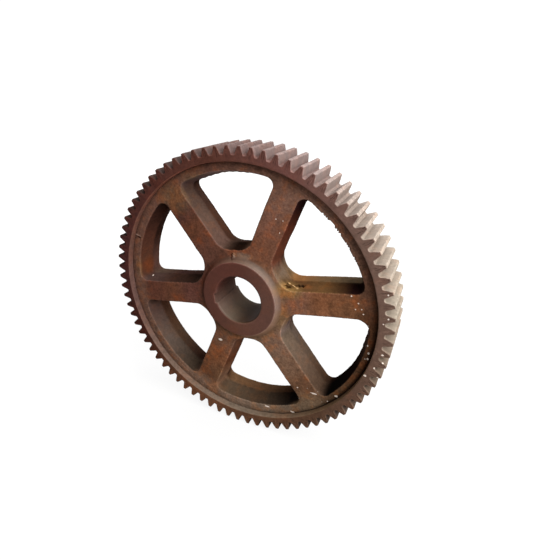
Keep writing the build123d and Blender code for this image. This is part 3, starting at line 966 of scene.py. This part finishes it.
def cut_material():
    m = Nodes("rusted_cut_iron")
    tint = m.n.new("ShaderNodeAttribute")
    tint.attribute_name = "tint"
    col, big, mid, fine, grit = rust(m, tint.outputs["Color"], 11.0, 3.4, (1.12, 0.88, 0.76), (0.74, 0.72, 0.72))
    # tooth tips and ends lightened: partly rubbed wear, partly a painted highlight, mainly on the lit right side
    col = m.mix(m.mul(m.mul(m.attr("edge"), m.step(fine, 0.36, 0.60)), 0.40), col,
                m.mix(1.0, col, (1.9, 2.0, 2.05), "MULTIPLY"))
    col = specks(m, col, (((187.6, -30, 48.2), (1.8, 3, 1.9)), ((190.7, -30, 18.9), (2.0, 3, 2.4)),
                          ((194.2, -30, 14.7), (1.7, 3, 1.7)), ((186.0, -30, 11.3), (1.8, 3, 1.7)),
                          ((187.3, -30, 42.0), (1.5, 3, 1.5)), ((192.1, -30, -5.4), (1.6, 3, 1.6)),
                          ((188.8, -30, -29.2), (2.6, 3, 2.2)), ((190.2, -30, -39.9), (2.0, 3, 2.0)),
                          ((181.5, -30, -49.6), (3.2, 3, 2.4)), ((186.1, -30, -60.9), (1.8, 3, 1.7)),
                          ((171.2, -30, -63.2), (3.8, 3, 2.8)), ((176.0, -30, -82.6), (1.7, 3, 1.6))))
    m.feed(m.bsdf.inputs["Base Color"], col)
    m.feed(m.bsdf.inputs["Roughness"], m.add(m.mul(fine, 0.25), 0.66))
    m.feed(m.bsdf.inputs["Specular IOR Level"], m.mul(m.attr("sheen"), 0.08))
    h = m.add(m.mul(m.noise(2.6, 5, 0.62, 18.0), 0.6), m.mul(m.voronoi(1.9), -0.2))
    b = m.bump(h, 0.22, 0.5)
    m.link(m.bump(grit, 0.18, 0.16, b), m.bsdf.inputs["Normal"])
    return m.mat


wheel.data.materials.clear()
wheel.data.materials.append(cast_material())
ring.data.materials.clear()
ring.data.materials.append(cut_material())
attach(wheel, "root")
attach(ring, "root")
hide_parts("wheel_centre")
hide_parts("toothed_ring")

# ------------------------------------------------------------------- stage ----
FLOOR_Z = -0.200


def build_stage():
    """A floor that sweeps up into a backdrop, all round, far from the gear."""
    rings = [0.0, 0.3, 0.8, 1.6, 2.6] + [2.6 + 1.4 * math.sin(math.radians(a)) for a in range(10, 91, 10)]
    tall = [0.0] * 5 + [1.4 * (1 - math.cos(math.radians(a))) for a in range(10, 91, 10)]
    rings += [4.0, 4.0]
    tall += [2.6, 4.5]
    n = 96
    verts = [(0, 0, FLOOR_Z)]
    for r, t in zip(rings[1:], tall[1:]):
        verts += [(r * math.cos(2 * math.pi * k / n), r * math.sin(2 * math.pi * k / n), FLOOR_Z + t) for k in range(n)]
    faces = [(0, 1 + k, 1 + (k + 1) % n) for k in range(n)]
    for i in range(len(rings) - 2):
        a, b = 1 + i * n, 1 + (i + 1) * n
        faces += [(a + k, b + k, b + (k + 1) % n, a + (k + 1) % n) for k in range(n)]
    mesh = bpy.data.meshes.new("floor")
    mesh.from_pydata(verts, [], faces)
    mesh.polygons.foreach_set("use_smooth", [True] * len(mesh.polygons))
    o = link("floor", mesh)
    # the camera sees a near-white floor with a soft contact shadow, while the gear
    # itself gets only a little light back from it
    mat = bpy.data.materials.new("pale_floor")
    mat.use_nodes = True
    t = mat.node_tree
    t.nodes.clear()
    out = t.nodes.new("ShaderNodeOutputMaterial")
    mix = t.nodes.new("ShaderNodeMixShader")
    path = t.nodes.new("ShaderNodeLightPath")
    dim = t.nodes.new("ShaderNodeBsdfDiffuse")
    dim.inputs["Color"].default_value = (0.30, 0.29, 0.28, 1)
    seen = t.nodes.new("ShaderNodeBsdfDiffuse")
    seen.inputs["Color"].default_value = (0.10, 0.10, 0.10, 1)
    glow = t.nodes.new("ShaderNodeEmission")
    glow.inputs["Color"].default_value = (1, 1, 1, 1)
    glow.inputs["Strength"].default_value = 0.88
    both = t.nodes.new("ShaderNodeAddShader")
    where = t.nodes.new("ShaderNodeNewGeometry")
    parts = t.nodes.new("ShaderNodeVectorMath")
    parts.operation = "LENGTH"
    far = t.nodes.new("ShaderNodeMapRange")
    far.inputs[1].default_value, far.inputs[2].default_value = 0.35, 0.95
    far.inputs[3].default_value, far.inputs[4].default_value = 0.88, 1.00
    t.links.new(where.outputs["Position"], parts.inputs[0])
    t.links.new(parts.outputs["Value"], far.inputs[0])
    t.links.new(far.outputs[0], glow.inputs["Strength"])
    t.links.new(seen.outputs[0], both.inputs[0])
    t.links.new(glow.outputs[0], both.inputs[1])
    t.links.new(path.outputs["Is Camera Ray"], mix.inputs[0])
    t.links.new(dim.outputs[0], mix.inputs[1])
    t.links.new(both.outputs[0], mix.inputs[2])
    t.links.new(mix.outputs[0], out.inputs["Surface"])
    mesh.materials.append(mat)
    return o


floor = build_stage()


def area(name, direction, distance, size, weight, colour=(1, 1, 1)):
    """A round soft light that looks at the gear.  A weight of 1 lights a surface that
    faces it as strongly as white surroundings would."""
    light = bpy.data.lights.new(name, "AREA")
    light.shape = "DISK"
    light.size = size
    light.energy = weight * math.pi ** 2 * distance ** 2
    light.color = colour
    o = bpy.data.objects.new(name, light)
    bpy.context.scene.collection.objects.link(o)
    d = Vector(direction).normalized()
    o.location = d * distance
    o.rotation_mode = "QUATERNION"
    o.rotation_quaternion = (-d).to_track_quat("-Z", "Y")
    return o


area("key", (0.69, -0.44, 0.58), 2.1, 1.5, 1.30, (1.0, 0.985, 0.96))
area("top", (0.27, 0.02, 0.96), 2.0, 1.6, 0.80, (1.0, 1.0, 1.0))
area("side", (0.88, 0.32, 0.35), 2.1, 1.4, 0.50, (1.0, 0.985, 0.96))
area("back", (-0.38, 0.88, 0.28), 2.2, 1.8, 0.95, (1.0, 1.0, 1.0))

world = bpy.data.worlds.new("studio")
bpy.context.scene.world = world
world.use_nodes = True
world.node_tree.nodes["Background"].inputs[0].default_value = (1.0, 1.0, 1.0, 1)
world.node_tree.nodes["Background"].inputs[1].default_value = 0.35

scene = bpy.context.scene
scene.view_settings.view_transform = "Standard"
scene.view_settings.look = "None"
scene.view_settings.exposure = 0.0

# ------------------------------------------------------------------ camera ----
cam_data = bpy.data.cameras.new("camera")
cam = bpy.data.objects.new("camera", cam_data)
scene.collection.objects.link(cam)
cam_data.sensor_fit = "HORIZONTAL"
cam_data.sensor_width = 36.0
cam_data.lens = 428.35 / 560 * 36.0
cam_data.shift_x = (280 - 260.27) / 560
cam_data.shift_y = (243.02 - 280) / 560
right = Vector((0.90569, 0.42394, 0.0))
up = Vector((-0.14780, 0.31576, 0.93726))
back = Vector((0.39734, -0.84886, 0.34864))
m = Matrix((right, up, back)).transposed().to_4x4()
m.translation = Vector((0.23849, -0.03 - 0.44002, 0.26587))
cam.matrix_world = m
cam_data.clip_start, cam_data.clip_end = 0.01, 50
scene.camera = cam
